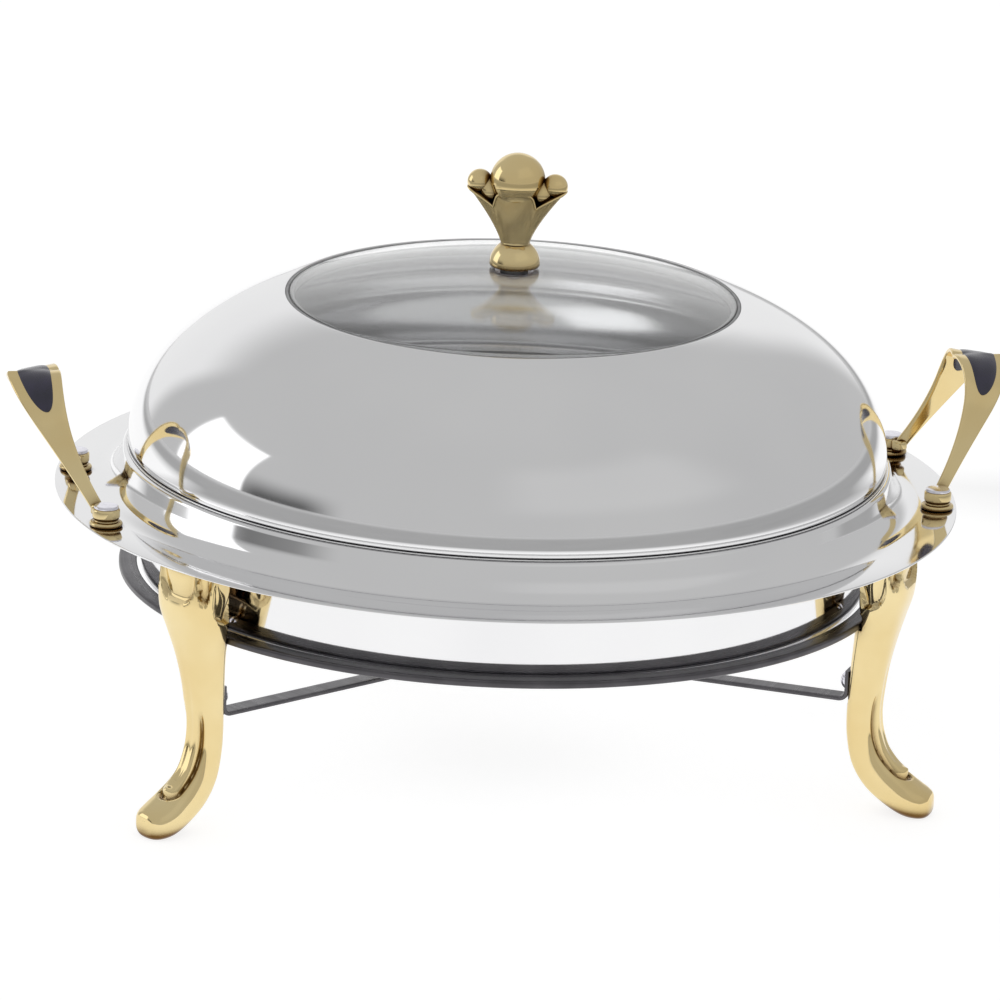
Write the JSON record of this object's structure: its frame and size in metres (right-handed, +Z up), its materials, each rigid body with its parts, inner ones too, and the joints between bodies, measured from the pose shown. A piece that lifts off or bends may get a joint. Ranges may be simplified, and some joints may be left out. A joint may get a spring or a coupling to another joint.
{
  "type": "chafing dish",
  "caption": "Round chafing dish with a domed glass-topped lid, a food pan in a wide-rimmed water pan, loop handles, and a legged stand that holds a fuel burner.",
  "frame": {"origin": "on the table, under the centre of the dish", "axes": "+Z up; the handles lie along -X and +X; one leg points along +Y, and the other two point forwards to either side"},
  "size_m": [0.505, 0.4537, 0.3126],
  "materials": {
    "polished_steel": "mirror-polished stainless steel sheet",
    "stand_steel": "satin stainless steel bar",
    "fastener_steel": "bright stainless steel",
    "gold_plate": "pale polished gold plate on a casting",
    "grip_inlay": "smooth dark navy resin",
    "clear_glass": "clear tempered glass",
    "silicone": "dark grey silicone",
    "burner_steel": "thin bright pressed steel",
    "wick_fibre": "off-white mineral fibre pad"
  },
  "bodies": {
    "stand": {"support_ring": "stand_steel", "leg_left": "gold_plate", "leg_right": "gold_plate", "leg_back": "gold_plate", "ring_screws": "fastener_steel", "brace_left": "stand_steel", "brace_right": "stand_steel", "brace_back": "stand_steel", "brace_screws": "fastener_steel", "burner_holder": "stand_steel", "holder_rivets": "fastener_steel"},
    "water_pan": {"water_pan": "polished_steel", "handle_left": "gold_plate", "handle_right": "gold_plate", "grip_outer_left": "grip_inlay", "grip_inner_left": "grip_inlay", "grip_outer_right": "grip_inlay", "grip_inner_right": "grip_inlay", "handle_feet": "gold_plate", "handle_screws": "fastener_steel", "handle_nuts": "fastener_steel"},
    "food_pan": {"food_pan": "polished_steel"},
    "lid": {"lid_shell": "polished_steel", "window_glass": "clear_glass", "window_seal": "silicone", "window_retainer": "polished_steel", "lid_knob": "gold_plate", "knob_seals": "silicone", "knob_washer": "fastener_steel", "knob_screw": "fastener_steel"},
    "burner": {"burner_cup": "burner_steel", "burner_wick": "wick_fibre", "burner_top": "burner_steel", "cover_pivot": "fastener_steel"},
    "burner_cover": {"burner_cover": "burner_steel"}
  },
  "joints": [
    {"name": "water_pan_lift", "type": "slide", "parent": "stand", "child": "water_pan", "axis": [0, 0, 1], "range_m": [0, 0.08]},
    {"name": "food_pan_lift", "type": "slide", "parent": "water_pan", "child": "food_pan", "axis": [0, 0, 1], "range_m": [0, 0.08]},
    {"name": "lid_lift", "type": "slide", "parent": "food_pan", "child": "lid", "axis": [0, 0, 1], "range_m": [0, 0.12]},
    {"name": "burner_lift", "type": "slide", "parent": "stand", "child": "burner", "axis": [0, 0, 1], "range_m": [0, 0.012]},
    {"name": "burner_cover_swing", "type": "hinge", "parent": "burner", "child": "burner_cover", "pos_m": [0, 0.027, 0.0686], "axis": [0, 0, 1], "range_deg": [0, 110]}
  ]
}
